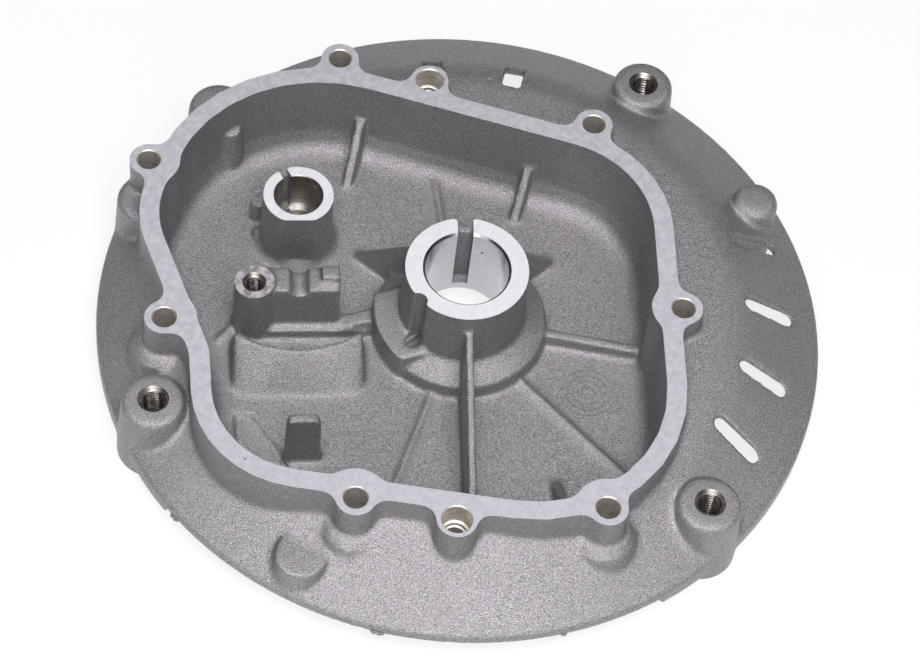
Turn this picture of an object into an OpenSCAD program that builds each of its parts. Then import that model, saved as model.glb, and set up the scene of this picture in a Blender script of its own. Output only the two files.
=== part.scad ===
// Lower crankcase (oil sump) of a small vertical-shaft engine, one aluminium die casting with machined faces.
// Frame: crankshaft axis on X = Y = 0, +Z up, mounting faces on Z = 0, sealing flange on Z = case_h.

/* [Casting] */
// Height from the mounting faces to the sealing flange
case_h = 36; // [34:0.5:42]
// Thickness of the sump floor above its underside
floor_t = 4; // [3:0.5:4.5]
// Thickness of the sump wall and so width of the sealing flange
wall_t = 5.9; // [5:0.1:7]
// Radius between the sump floor and its wall
floor_r = 6; // [4:0.5:8]
// Diameter of the round dished plate
plate_d = 222.8; // [220:0.2:228]
// Thickness of the dished plate
plate_t = 4; // [3:0.5:5]
// Fall of the dished plate towards its rim in degrees
plate_slope = 31; // [29:0.5:32]
// Depth of the rim skirt below the edge of the plate
skirt_h = 8; // [6:0.5:9]
// Depth of the rim where the skirt is cut away at the front
skirt_low_h = 4.4; // [3.5:0.1:5]

/* [Crankshaft hub] */
// Diameter of the main bearing bore
main_bore_d = 25.4; // [24:0.2:27]
// Outer diameter of the hub at its machined top
hub_d = 37.3; // [36:0.1:40]
// Outer diameter of the collar round the foot of the hub
collar_d = 53; // [52:0.5:56]
// Diameter of the oil seal seat under the hub
seal_d = 41.3; // [40:0.1:43]
// Depth of the oil seal seat
seal_h = 7.5; // [7:0.5:8.5]
// Width of the oil groove in the main bore
groove_w = 4.8; // [4:0.1:6]

/* [Camshaft boss] */
// Camshaft axis, distance to the left of the crankshaft axis
cam_x = 54.5; // [54:0.1:56]
// Camshaft axis, distance behind the crankshaft axis
cam_y = 23.6; // [23:0.1:25]
// Diameter of the camshaft bore
cam_bore_d = 14.8; // [14:0.1:16]
// Outer diameter of the camshaft boss
cam_boss_d = 21.6; // [21:0.1:23]
// Height of the camshaft boss top above the mounting faces
cam_top = 29; // [27:0.5:31]
// Depth of the camshaft bore
cam_depth = 20; // [16:0.5:22]

/* [Governor block] */
// Diameter of the thread hole in the governor boss
gov_thread_d = 5; // [4.8:0.1:5.5]
// Outer diameter of the governor boss
gov_boss_d = 12; // [11.5:0.1:13]
// Height of the governor boss above the mounting faces
gov_top = 27; // [26:0.5:29]
// Length of the block to the right of the boss
gov_len = 26; // [25:0.5:27]

/* [Bolt holes] */
// Diameter of the flange bolt holes
bolt_d = 7; // [6.4:0.1:7.2]
// Outer diameter of the bolt lobes
lobe_d = 11.8; // [11.4:0.1:12.6]
// Diameter of the bolt columns inside the sump
column_d = 19.2; // [18:0.2:20]
// Diameter of the dowel counterbores
dowel_d = 8.6; // [8:0.1:9]
// Depth of the dowel counterbores
dowel_h = 8; // [6:0.5:10]
// Bolt circle diameter of the mounting bosses
mount_pcd = 203.2; // [200:0.2:206]
// Diameter of the mounting thread holes
mount_thread_d = 8; // [7.8:0.1:8.6]
// Top diameter of the mounting bosses
mount_boss_d = 19.2; // [18:0.2:20]
// Height of the mounting bosses above the mounting faces
mount_boss_top = 25.6; // [25:0.2:27]

/* [Drain slots] */
// Width of the long drain slots
slot_w = 4.6; // [4:0.1:5.2]
// Length of the slots between the centres of their round ends
slot_len = 11.2; // [10:0.1:11.5]
// Distance of the slots' inner round ends from the crankshaft axis
slot_from = 88.4; // [87.5:0.1:89]

/* [Hidden] */

CAST = [0.60, 0.59, 0.60];
E = 0.02;
MAIN_FN = 96;
HOLE_FN = 40;
ROUND_FN = 32;
LOOP_STEPS = 8;

under_h = 1;
floor_h = under_h + floor_t;
plate_r = plate_d / 2;
slope = tan(plate_slope);
shoulder_r = 83.5;
shoulder_h = case_h - 8;
shoulder_ease = 6;
wall_draft = 0.7;
rim_h = plate_top(plate_r);
mount_r = mount_pcd / 2;

// The pump and governor group stands turned a little from the frame
group_turn = 10;

// Sump opening at the flange: corner, then radius of the corner
OPENING = [
    [-83.6, 70.2, 47.4], [51.4, 49.2, 32.6], [69.8, -78.1, 41],
    [-63.5, -78.1, 28.4], [-71.2, -41.8, 14.3], [-96.2, 5.2, 29]
];
// Flange bolt holes, and which of them have a column inside the sump
BOLTS = [
    [-49, 73.8], [-100.9, 23.7], [-86.1, -32.8], [-22.1, -84.5],
    [49.4, -76.1], [65.9, -3.3], [32.9, 61.9]
];
COLUMN_BOLTS = [1, 2, 3, 4, 5];
// Bolts with a stepped foot where the plate falls away under them
FOOT_BOLTS = [2, 3, 4];
// Stepped holes for the two dowels
DOWELS = [[-20, 70.2], [7.2, -86.9]];
// Directions of the threaded and of the plain mounting bosses
THREADED_AT = [62, 212.7, 321.5];
PLAIN_AT = [146.3, 170];
BUTTON_AT = 30.4;
// Directions of the long drain slots and of the two square ones
SLOTS_AT = [22, 6.5, -8.5, -23.3];
SQUARE_AT = [86, 103.3];
// Ribs under the plate, kept clear of the slots
UNDER_RIBS_AT = [0, 15, 45, 76, 94.5, 120, 158, 188, 200, 232, 250, 270, 290, 307, 337];
SKIRT_CUT_FROM = 225.5;
SKIRT_CUT_TO = 309;

// Height of the plate's top: level, then easing into the slope on both sides of the shoulder
function plate_top(r) =
    let (t = r - shoulder_r + shoulder_ease)
    shoulder_h - (
        t < 0 ? 0
        : t < 2 * shoulder_ease ? slope * t * t / (4 * shoulder_ease)
        : slope * (t - shoulder_ease)
    );
function on_circle(r, a) = [r * cos(a), r * sin(a)];
function unit(v) = v / norm(v);

// Points of the arc of radius r that rounds corner p between a and b, moved inwards by d
function corner(a, p, b, r, d) =
    let (
        u = unit(a - p),
        w = unit(b - p),
        half = acos(u * w) / 2,
        side = u.x * w.y - u.y * w.x > 0 ? 1 : -1,
        c = p + unit(u + w) * r / sin(half),
        start = side > 0 ? atan2(-u.x, u.y) : atan2(u.x, -u.y)
    )
    [for (i = [0:LOOP_STEPS]) c + on_circle(r - side * d, start - side * (180 - 2 * half) * i / LOOP_STEPS)];

// Closed loop of the sump opening moved inwards by d
function opening_loop(d) =
    let (n = len(OPENING))
    [for (i = [0:n - 1])
        each corner(
            xy(OPENING[(i + n - 1) % n]), xy(OPENING[i]), xy(OPENING[(i + 1) % n]), OPENING[i].z, d)];
function xy(p) = [p.x, p.y];

// Body through a stack of loops with equal point counts: [loop, height]
module loft(rings) {
    n = len(rings[0][0]);
    m = len(rings);
    polyhedron(
        points = [for (r = rings) for (p = r[0]) [p.x, p.y, r[1]]],
        faces = concat(
            [[for (i = [n - 1:-1:0]) i]],
            [for (k = [0:m - 2]) for (i = [0:n - 1])
                [k * n + i, k * n + (i + 1) % n, (k + 1) * n + (i + 1) % n, (k + 1) * n + i]],
            [[for (i = [0:n - 1]) (m - 1) * n + i]]
        ),
        convexity = 8
    );
}

module at_polar(r, a) {
    rotate(a) translate([r, 0, 0]) children();
}

module in_group() {
    translate([-62.9, -9.6, 0]) rotate(group_turn) children();
}

// Outline of the sealing flange with its bolt lobes
module flange_outline() {
    blend = 4.5;
    offset(r = -blend, $fn = ROUND_FN) offset(delta = blend) union() {
        polygon(opening_loop(-wall_t));
        for (p = concat(BOLTS, DOWELS)) translate(p) circle(d = lobe_d, $fn = HOLE_FN);
    }
}

// Outline of the sump opening with the bolt columns standing into it
module opening_outline() {
    blend = 5;
    offset(r = blend, $fn = ROUND_FN) offset(delta = -blend) difference() {
        polygon(opening_loop(0));
        for (i = COLUMN_BOLTS) translate(BOLTS[i]) circle(d = column_d, $fn = HOLE_FN);
    }
}

// Dished plate with its rim skirt, drawn as a section and turned
module plate() {
    inner_r = 40;
    round_r = 2;
    inside_r = plate_r - plate_t;
    bend = [for (k = [0:4]) shoulder_r + shoulder_ease * (k / 2 - 1)];
    rotate_extrude($fn = MAIN_FN * 2) polygon(concat(
        [[inner_r, shoulder_h - plate_t]],
        [for (r = bend) [r, plate_top(r) - plate_t]],
        [[inside_r, plate_top(inside_r) - plate_t], [inside_r, rim_h - skirt_h]],
        [[plate_r - 1, rim_h - skirt_h], [plate_r, rim_h - skirt_h + 1]],
        [for (a = [0:30:90 - plate_slope])
            let (inwards = round_r * (1 - cos(a)))
            [plate_r - inwards, rim_h - round_r * (1 - sin(a)) + slope * inwards]],
        [for (k = [4:-1:0]) [bend[k], plate_top(bend[k])]],
        [[inner_r, shoulder_h]]
    ));
}

// Cut that shortens the skirt between the two front bosses
module skirt_cut() {
    reach = plate_r + 10;
    translate([0, 0, -E]) linear_extrude(rim_h - skirt_low_h) intersection() {
        difference() {
            circle(r = reach, $fn = MAIN_FN);
            circle(r = plate_r - plate_t - 3, $fn = MAIN_FN);
        }
        polygon(concat(
            [[0, 0]],
            [for (k = [0:4]) on_circle(2 * reach, SKIRT_CUT_FROM + k * (SKIRT_CUT_TO - SKIRT_CUT_FROM) / 4)]
        ));
    }
}

// Round boss with draft and a rounded top edge, standing on the mounting plane
module mount_boss(top, top_d, foot_d, round_r) {
    rotate_extrude($fn = ROUND_FN * 2) polygon(concat(
        [[0, 0], [foot_d / 2, 0]],
        [for (a = [0:30:90]) [top_d / 2 - round_r * (1 - cos(a)), top - round_r * (1 - sin(a))]],
        [[0, top]]
    ));
}

module mount_bosses() {
    draft = 3.4;
    for (a = concat(THREADED_AT, PLAIN_AT))
        at_polar(mount_r, a) mount_boss(mount_boss_top, mount_boss_d, mount_boss_d + draft, 2);
    at_polar(mount_r - 1, BUTTON_AT) mount_boss(case_h - 11.5, 14.4, 15.8, 3);
    // Ejector pin mark between the rear boss and the nearest bolt lobe
    translate([41.2, 80.2, 8]) cylinder(h = 15, d = 4.8, $fn = HOLE_FN);
}

// Solid of the sump: wall up to the flange and a full base that the opening is cut from
module sump_solid() {
    translate([0, 0, under_h]) linear_extrude(case_h - under_h) flange_outline();
    foot_from = 12;
    step_h = case_h - 13.7;
    for (i = FOOT_BOLTS) translate([BOLTS[i].x, BOLTS[i].y, foot_from]) {
        cylinder(h = step_h - foot_from, d1 = column_d + 5, d2 = column_d, $fn = HOLE_FN);
        cylinder(h = step_h + 1.5 - foot_from, d = column_d - 2.6, $fn = HOLE_FN);
    }
}

// Space of the sump: walls with bolt columns, rounded into the floor below
module sump_space() {
    mid = floor_h + floor_r;
    steps = 4;
    intersection() {
        linear_extrude(case_h + 3) opening_outline();
        loft(concat(
            [for (k = [0:steps])
                let (a = 90 * k / steps)
                [opening_loop(wall_draft + floor_r * (1 - sin(a))), floor_h + floor_r * (1 - cos(a))]],
            [[opening_loop(-wall_draft), mid + 3], [opening_loop(-wall_draft), case_h + 1]]
        ));
    }
    // Lower part of the floor at the front left
    step = floor_t * 0.4;
    translate([0, 0, floor_h - step]) linear_extrude(step + 1) intersection() {
        polygon(opening_loop(wall_draft + floor_r + 0.5));
        polygon([
            [-90, -43.5], [-66.6, -43.5], [-58, -42.4], [-53.5, -47.4],
            [-47.5, -53.2], [-44, -60], [-44, -90], [-90, -90]
        ]);
    }
}

// Everything outside the sump wall, ending inside the thickness of that wall
module rim_ring() {
    difference() {
        union() {
            plate();
            under_ribs();
            mount_bosses();
            plate_pad();
        }
        translate([0, 0, -E]) linear_extrude(case_h + 1) polygon(opening_loop(-wall_t / 2));
        skirt_cut();
    }
}

module sump_shell() {
    difference() {
        sump_solid();
        sump_space();
    }
}

// Main bearing hub with its collar and the two bracing webs behind
module hub() {
    collar_h = case_h - 25.5;
    step_h = case_h - 21.5;
    neck_d = hub_d + 1.6;
    translate([0, 0, under_h]) cylinder(h = case_h - under_h, d1 = hub_d + 2, d2 = hub_d, $fn = MAIN_FN);
    translate([0, 0, under_h]) cylinder(h = collar_h - under_h, d = collar_d, $fn = MAIN_FN);
    translate([0, 0, collar_h]) cylinder(h = step_h - collar_h, d1 = collar_d, d2 = neck_d, $fn = MAIN_FN);
    intersection() {
        translate([0, 0, under_h]) cylinder(h = step_h + 1 - under_h, d = collar_d + 1.6, $fn = MAIN_FN);
        rotate(206) translate([0, -13, 0]) cube([collar_d, 26, case_h]);
    }
    rotate(148.6) web(hub_d / 2 - 2, case_h - 4, 42.5, floor_h - 0.5, 3);
    rotate(49.3) web(hub_d / 2 - 2, case_h - 4, 40, floor_h - 0.5, 3);
}

// Upright web on the floor whose top runs from (r1, z1) to (r2, z2)
module web(r1, z1, r2, z2, t) {
    translate([0, t / 2, 0]) rotate([90, 0, 0]) linear_extrude(t)
        polygon([[r1, floor_h - 1], [r1, z1], [r2, z2], [r2, floor_h - 1]]);
}

// Ribs on the sump floor and at the wall
module floor_ribs() {
    // Tall thin rib from the hub to the front wall
    rotate(-81.5) translate([0, 0.6, 0]) web(hub_d / 2 - 3, case_h - 5.5, 82, case_h - 18, 2.4);
    // Low broad rib from the hub to the right wall
    rotate(-1.9) web(20, floor_h + 5, 62, floor_h + 4.2, 3.2);
    // Narrow ridges that part the floor panels
    rotate(-39.5) web(22, floor_h + 1.2, 84, floor_h + 1.2, 1.5);
    rotate(258.5) web(22, floor_h + 1.2, 84, floor_h + 1.2, 1.5);
    rotate(104.8) web(17, floor_h + 1.2, 64, floor_h + 1.2, 1.5);
    translate([-75.5, -23.5, 0]) rotate(60) web(6, floor_h + 1.2, 13, floor_h + 1.2, 1.5);
    // Sloping ribs at the rear wall and one beside the right front bolt
    translate([-42, 45.5, 0]) rotate(84) web(0, floor_h - 0.5, 20.5, case_h - 12, 2.8);
    translate([12.2, 41.5, 0]) rotate(80) web(0, floor_h - 0.5, 16, case_h - 14, 2.8);
    translate([34.5, -50, 0]) rotate(-73) web(0, floor_h - 0.5, 27, case_h - 12, 2.8);
    // Half-round pad on the rear left wall
    translate([-80.3, 50.8, floor_h - 1]) cylinder(h = 19, d1 = 9, d2 = 8, $fn = HOLE_FN);
    // Rounded rib from the hub to the governor block
    rotate(191) web(24, floor_h + 8, 38, floor_h + 4, 5);
    translate([-29, -5.4, 0]) rotate(20) web(-8, floor_h + 4, 13, floor_h + 11, 4.4);
}

// Camshaft boss with its front flat and the small pin beside it
module cam_boss() {
    flat_y = 9.75;
    foot = floor_h - 1;
    top_r = cam_boss_d / 2;
    translate([-cam_x, cam_y, 0]) {
        difference() {
            union() {
                translate([0, 0, foot]) {
                    cylinder(h = cam_top - foot, r1 = top_r + 0.5, r2 = top_r, $fn = MAIN_FN);
                    cylinder(h = 4, r1 = top_r + 3.5, r2 = top_r, $fn = MAIN_FN);
                }
            }
            rotate(group_turn) translate([-20, -20 - flat_y, floor_h + 3]) cube([40, 20, case_h]);
        }
    }
    translate([-cam_x - 11.9, cam_y, foot]) cylinder(h = 18, d = 3.8, $fn = HOLE_FN);
}

// Governor boss with the block beside it, its lug and its ledge
module governor_block() {
    foot = floor_h - 1;
    block_h = gov_top - 1 - foot;
    lug_w = 5.6;
    in_group() translate([0, 0, foot]) {
        cylinder(h = gov_top - foot, d1 = gov_boss_d + 0.8, d2 = gov_boss_d, $fn = MAIN_FN);
        translate([0, -2.75, 0]) cube([gov_len, 9.25, block_h]);
        translate([gov_len - lug_w, 0.3, 0]) cube([lug_w, 5, block_h + 2.5]);
        translate([4, -5.6, 0]) cube([31, 5, case_h - 27.5 - foot]);
    }
}

// Scoop in front of the governor block: a curved crest with a ramp down to the floor
module scoop() {
    crest_h = case_h - 20;
    in_group() hull() {
        translate([13.3, 15.2, crest_h - 0.4]) linear_extrude(0.4) intersection() {
            circle(r = 33, $fn = MAIN_FN);
            translate([-20, -40]) square([40.6, 13.4]);
        }
        translate([13.3, -15.5, floor_h - 1]) linear_extrude(0.5)
            offset(r = 5, $fn = ROUND_FN) square([30.6, 14], center = true);
    }
}

module scoop_space() {
    in_group() translate([13.3, 15.2, case_h - 32]) linear_extrude(case_h) intersection() {
        circle(r = 31.8, $fn = MAIN_FN);
        translate([-18.6, -40]) square([38, 19.2]);
    }
}

// Upright tab near the front wall
module tab() {
    top = case_h - 9;
    tab_t = 3.2;
    translate([-41, -54.8, 0]) rotate([90, 0, group_turn]) translate([0, 0, -tab_t / 2]) linear_extrude(tab_t)
        polygon([
            [-5.6, 2], [5.6, 2], [5, top - 2], [4.4, top - 0.6],
            [3, top], [-3, top], [-4.4, top - 0.6], [-5, top - 2]
        ]);
}

// Level pad that stands proud where the plate falls away
module plate_pad() {
    pad_from = 8;
    pad_h = case_h - 17;
    at_polar(mount_r, -110.4) translate([0, 0, pad_from])
        cylinder(h = pad_h - pad_from, d1 = 18.4, d2 = 15.2, $fn = ROUND_FN * 2);
}

// Ribs under the plate between the bowl and the skirt
module under_ribs() {
    for (a = UNDER_RIBS_AT) rotate(a) translate([0, 1.5, 0]) rotate([90, 0, 0]) linear_extrude(3)
        polygon([
            [60, under_h], [plate_r - 6, rim_h - skirt_h + 1], [plate_r - 2, rim_h - skirt_h + 1],
            [plate_r - 2, rim_h - 2], [shoulder_r, shoulder_h - 1], [60, shoulder_h - 1]
        ]);
}

// Long slot through the plate between two radii
module drain_slot(a) {
    rotate(a) translate([0, 0, 2]) linear_extrude(case_h) union() {
        translate([slot_from, 0]) circle(d = slot_w, $fn = HOLE_FN);
        translate([slot_from + slot_len, 0]) circle(d = slot_w, $fn = HOLE_FN);
        translate([slot_from, -slot_w / 2]) square([slot_len, slot_w]);
    }
}

module square_slot(a) {
    rotate(a) translate([79.5, -3, 2]) cube([11, 6, case_h]);
}

// Main bore, its chamfer, the seal seat, the oil groove and the oil hole
module hub_holes() {
    bore_r = main_bore_d / 2;
    translate([0, 0, -1]) cylinder(h = case_h + 2, d = main_bore_d, $fn = MAIN_FN);
    translate([0, 0, case_h - 0.7]) cylinder(h = 1.4, r1 = bore_r, r2 = bore_r + 1.4, $fn = MAIN_FN);
    translate([0, 0, -1]) cylinder(h = 1 + seal_h, d = seal_d, $fn = MAIN_FN);
    rotate(98.5) {
        translate([0, -groove_w / 2, case_h - 3]) cube([hub_d, groove_w, 10]);
        translate([0, -groove_w / 2, seal_h + 3]) cube([bore_r + 3, groove_w, case_h]);
    }
    rotate(-132.5) {
        translate([hub_d / 2 + 0.4, 0, case_h - 22.5]) cylinder(h = 30, d = 5.2, $fn = HOLE_FN);
        translate([hub_d / 2 + 3, 0, case_h - 21.5]) rotate([0, -108, 0])
            cylinder(h = 12, d = 3, $fn = HOLE_FN);
    }
}

module cam_holes() {
    bottom = cam_top - cam_depth;
    cut_w = 2.7;
    translate([-cam_x, cam_y, 0]) {
        translate([0, 0, bottom]) cylinder(h = case_h, d = cam_bore_d - 3, $fn = MAIN_FN);
        translate([0, 0, bottom + 4]) cylinder(h = case_h, d = cam_bore_d, $fn = MAIN_FN);
        rotate(126) {
            translate([0, -cut_w / 2, bottom + 4.6]) cube([cam_boss_d / 2 - 1.4, cut_w, case_h]);
            translate([0, -cut_w / 2, cam_top - 2]) cube([cam_boss_d, cut_w, case_h]);
        }
    }
}

module governor_holes() {
    in_group() {
        translate([0, 0, gov_top - 16]) cylinder(h = case_h, d = gov_thread_d, $fn = HOLE_FN);
        translate([13.7, -4, gov_top - 1]) rotate([-90, 0, 0]) cylinder(h = 12, d = 5.6, $fn = HOLE_FN);
    }
}

module bolt_holes() {
    for (p = BOLTS) translate([p.x, p.y, -1]) cylinder(h = case_h + 2, d = bolt_d, $fn = HOLE_FN);
    for (p = DOWELS) translate([p.x, p.y, 0]) {
        translate([0, 0, -1]) cylinder(h = case_h + 2, d = bolt_d - 1, $fn = HOLE_FN);
        translate([0, 0, case_h - dowel_h]) cylinder(h = dowel_h + 1, d = dowel_d, $fn = HOLE_FN);
    }
    mouth = 3.5;
    for (a = THREADED_AT) at_polar(mount_r, a) translate([0, 0, -1]) {
        cylinder(h = case_h, d = mount_thread_d, $fn = HOLE_FN);
        translate([0, 0, mount_boss_top])
            cylinder(h = 4, r1 = mount_thread_d / 2 - 0.2, r2 = mount_thread_d / 2 + mouth, $fn = HOLE_FN);
    }
}

module lower_crankcase() {
    color(CAST) difference() {
        union() {
            rim_ring();
            sump_shell();
            hub();
            floor_ribs();
            cam_boss();
            governor_block();
            difference() {
                scoop();
                scoop_space();
            }
            tab();
        }
        hub_holes();
        cam_holes();
        governor_holes();
        bolt_holes();
        for (a = SLOTS_AT) drain_slot(a);
        for (a = SQUARE_AT) square_slot(a);
    }
}

lower_crankcase();
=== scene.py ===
import bmesh
import bpy
import math
import numpy as np
from mathutils import Matrix, Vector


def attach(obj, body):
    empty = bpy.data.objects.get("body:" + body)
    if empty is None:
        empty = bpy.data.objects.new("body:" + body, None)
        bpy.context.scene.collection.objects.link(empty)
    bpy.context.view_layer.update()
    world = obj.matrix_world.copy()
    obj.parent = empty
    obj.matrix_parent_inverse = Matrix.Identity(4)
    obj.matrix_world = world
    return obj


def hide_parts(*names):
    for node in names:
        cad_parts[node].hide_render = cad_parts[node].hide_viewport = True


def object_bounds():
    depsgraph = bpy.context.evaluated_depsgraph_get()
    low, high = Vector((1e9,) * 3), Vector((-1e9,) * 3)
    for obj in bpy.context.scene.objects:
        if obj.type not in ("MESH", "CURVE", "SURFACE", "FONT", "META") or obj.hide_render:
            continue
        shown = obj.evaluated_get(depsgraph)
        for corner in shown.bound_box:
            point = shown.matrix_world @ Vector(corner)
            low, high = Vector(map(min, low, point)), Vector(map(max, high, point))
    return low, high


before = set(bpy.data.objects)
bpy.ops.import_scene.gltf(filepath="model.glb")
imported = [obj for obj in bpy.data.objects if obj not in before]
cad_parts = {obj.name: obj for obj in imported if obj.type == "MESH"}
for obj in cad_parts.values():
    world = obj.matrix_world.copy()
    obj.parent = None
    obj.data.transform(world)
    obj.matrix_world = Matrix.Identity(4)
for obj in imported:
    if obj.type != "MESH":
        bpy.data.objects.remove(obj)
cad_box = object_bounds()

MM = 0.001
flange_z = cad_box[1].z
scene = bpy.context.scene
scene.view_settings.view_transform = "Standard"


# The view: the open sump seen from above and in front, turned a little clockwise in the picture.
# The lens, distance and roll come from fitting the bolt holes of the flange.
VIEW_ELEVATION = math.radians(55.621)
VIEW_ROLL = math.radians(8.086)
VIEW_DISTANCE = 818.31 * MM
VIEW_TARGET = Vector((0.54 * MM, -23.5 * MM, flange_z))
IMAGE_WIDTH = 920
FOCAL_PIXELS = 2769.14
SENSOR = 36
VIEW_REACH = 20

towards_eye = Vector((0, -math.cos(VIEW_ELEVATION), math.sin(VIEW_ELEVATION)))
level_right = Vector((1, 0, 0))
level_up = Vector((0, math.sin(VIEW_ELEVATION), math.cos(VIEW_ELEVATION)))
eye_right = math.cos(VIEW_ROLL) * level_right + math.sin(VIEW_ROLL) * level_up
eye_up = math.cos(VIEW_ROLL) * level_up - math.sin(VIEW_ROLL) * level_right
eye = VIEW_TARGET + towards_eye * VIEW_DISTANCE

camera_data = bpy.data.cameras.new("view")
camera_data.sensor_width = SENSOR
camera_data.lens = FOCAL_PIXELS * SENSOR / IMAGE_WIDTH
camera_data.clip_end = VIEW_REACH
camera = bpy.data.objects.new("view", camera_data)
camera.matrix_world = Matrix((
    (eye_right.x, eye_up.x, towards_eye.x, eye.x),
    (eye_right.y, eye_up.y, towards_eye.y, eye.y),
    (eye_right.z, eye_up.z, towards_eye.z, eye.z),
    (0, 0, 0, 1),
))
scene.collection.objects.link(camera)
scene.camera = camera


# The raw casting: one pressure die casting in aluminium, blasted all over. Its edges are rounded and
# its inner corners filleted by the die. It comes out of the die with stock on the faces that are
# machined, and with every hole that is drilled or bored later still full of metal.
WELD_REACH = 0.001 * MM
VOXEL = 0.6 * MM
STOCK = 3 * MM
FULL_BY = 0.8 * MM
TOUCH = 0.05 * MM
EDGE_ROUNDS = 3
FILLET_ROUNDS = 10
FILLET_EDGE_SHARE = 0.12
ROUND_PULL = 0.5
NORMALS_EVERY = 6
TURN_STEPS = 96
HOLE_STEPS = 48
CAST_TRIANGLES = 140000
CAST_LIGHT = (0.455, 0.435, 0.457, 1)
CAST_DARK = (0.125, 0.118, 0.127, 1)
CAST_METALLIC = 0.72
CAST_ROUGH = 0.47
CAST_SMOOTH = 0.34
CAST_BUMP = 0.31 * MM
UNDERSIDE = 1 * MM
HUB_RADIUS = 18.65 * MM
MAIN_BORE_RADIUS = 12.7 * MM
SEAL_RADIUS = 20.65 * MM
SEAL_DEPTH = 7.5 * MM
CAM_AXIS = (-54.5 * MM, 23.6 * MM)
CAM_TOP = 29 * MM
CAM_RADIUS = 10.8 * MM
CAM_BORE_RADIUS = 7.4 * MM
CAM_BORE_FLOOR = 9 * MM
PIN_AT = (-67.5 * MM, 30.6 * MM)
PIN_RADIUS = 2.7 * MM
PIN_TOP = 13.9 * MM
PIN_FOOT = 4 * MM
TALL_PIN_REACH = (CAM_RADIUS + 0.55 * MM, CAM_RADIUS + 6 * MM)
TALL_PIN_ARC = (160, 200)
TALL_PIN_FOOT = 7.6 * MM
GOVERNOR_AXIS = (-62.9 * MM, -9.6 * MM)
GOVERNOR_TOP = 27 * MM
GOVERNOR_RADIUS = 6 * MM
GOVERNOR_THREAD_RADIUS = 2.95 * MM
GOVERNOR_THREAD_FLOOR = 11 * MM
BOLT_RADIUS = 3.5 * MM
DOWEL_RADIUS = 4.3 * MM
DOWEL_DEPTH = 8 * MM
DECK_CIRCLE = 101.6 * MM
DECK_THREADS_AT = (62, 212.7, 321.5)
DECK_BOSS_TOP = 25.6 * MM
DECK_THREAD_RADIUS = 4 * MM
BOLTS = [(x * MM, y * MM) for x, y in (
    (-49, 73.8), (-100.9, 23.7), (-86.1, -32.8), (-22.1, -84.5), (49.4, -76.1), (65.9, -3.3),
    (32.9, 61.9))]
DOWELS = [(x * MM, y * MM) for x, y in ((-20, 70.2), (7.2, -86.9))]


def on_circle(radius, degrees, centre=(0, 0)):
    angle = math.radians(degrees)
    return centre[0] + radius * math.cos(angle), centre[1] + radius * math.sin(angle)


DECK_THREADS = [on_circle(DECK_CIRCLE, angle) for angle in DECK_THREADS_AT]


def turned(profile, centre=(0, 0), steps=TURN_STEPS):
    """Closed body of revolution through (radius, height) pairs, the first and last on the axis."""
    verts = []
    rings = []
    for radius, height in profile:
        if radius == 0:
            rings.append([len(verts)])
            verts.append((centre[0], centre[1], height))
            continue
        rings.append(list(range(len(verts), len(verts) + steps)))
        for k in range(steps):
            verts.append((*on_circle(radius, 360 * k / steps, centre), height))
    faces = []
    for low, high in zip(rings, rings[1:]):
        for k in range(steps):
            n = (k + 1) % steps
            if len(low) == 1:
                faces.append((low[0], high[n], high[k]))
            elif len(high) == 1:
                faces.append((low[k], low[n], high[0]))
            else:
                faces.append((low[k], low[n], high[n], high[k]))
    return verts, faces


def plug(radius, low, high, centre=(0, 0)):
    """Closed upright cylinder."""
    return turned([(0, low), (radius, low), (radius, high), (0, high)], centre, HOLE_STEPS)


def piece(name, mesh):
    """A named piece of the part that rides on its only body."""
    obj = bpy.data.objects.new(name, mesh)
    scene.collection.objects.link(obj)
    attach(obj, "root")
    return obj


def evaluated(obj):
    """Applies the object's modifiers to its mesh."""
    graph = bpy.context.evaluated_depsgraph_get()
    made = bpy.data.meshes.new_from_object(obj.evaluated_get(graph))
    obj.modifiers.clear()
    obj.data = made


def read(items, key, width=1, kind=np.float64):
    """One attribute of all the items, with a row for each where it is wider than one."""
    values = np.empty(len(items) * width, dtype=kind)
    items.foreach_get(key, values)
    return values.reshape(-1, width) if width > 1 else values


def points_of(mesh):
    return read(mesh.vertices, "co", 3)


def set_points(mesh, points):
    mesh.vertices.foreach_set("co", points.ravel())
    mesh.update()


def from_axis(points, axis):
    return np.hypot(points[:, 0] - axis[0], points[:, 1] - axis[1])


def add_stock(mesh):
    """Raises the faces that are machined, so that rounding leaves their edges alone."""
    points = points_of(mesh)
    top = points[:, 2] > flange_z - TOUCH
    for axis, radius, boss_top in ((CAM_AXIS, CAM_RADIUS + 6 * TOUCH, CAM_TOP),
                                   (GOVERNOR_AXIS, GOVERNOR_RADIUS + 2 * TOUCH, GOVERNOR_TOP)):
        top |= (from_axis(points, axis) < radius) & (points[:, 2] > boss_top - TOUCH)
    bottom = points[:, 2] < TOUCH
    points[top, 2] += STOCK
    points[bottom, 2] -= STOCK
    set_points(mesh, points)


def fill_holes(mesh, plugs):
    """Adds the plugs as closed shells, which the even mesh then takes up into the casting."""
    grown = bmesh.new()
    grown.from_mesh(mesh)
    for verts, faces in plugs:
        corners = [grown.verts.new(co) for co in verts]
        for face in faces:
            grown.faces.new([corners[i] for i in face])
    grown.to_mesh(mesh)
    grown.free()


def joined(bodies):
    """Several bodies as one list of points and one of faces."""
    verts = []
    faces = []
    for body_verts, body_faces in bodies:
        base = len(verts)
        verts += body_verts
        faces += [tuple(base + i for i in face) for face in body_faces]
    return verts, faces


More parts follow.
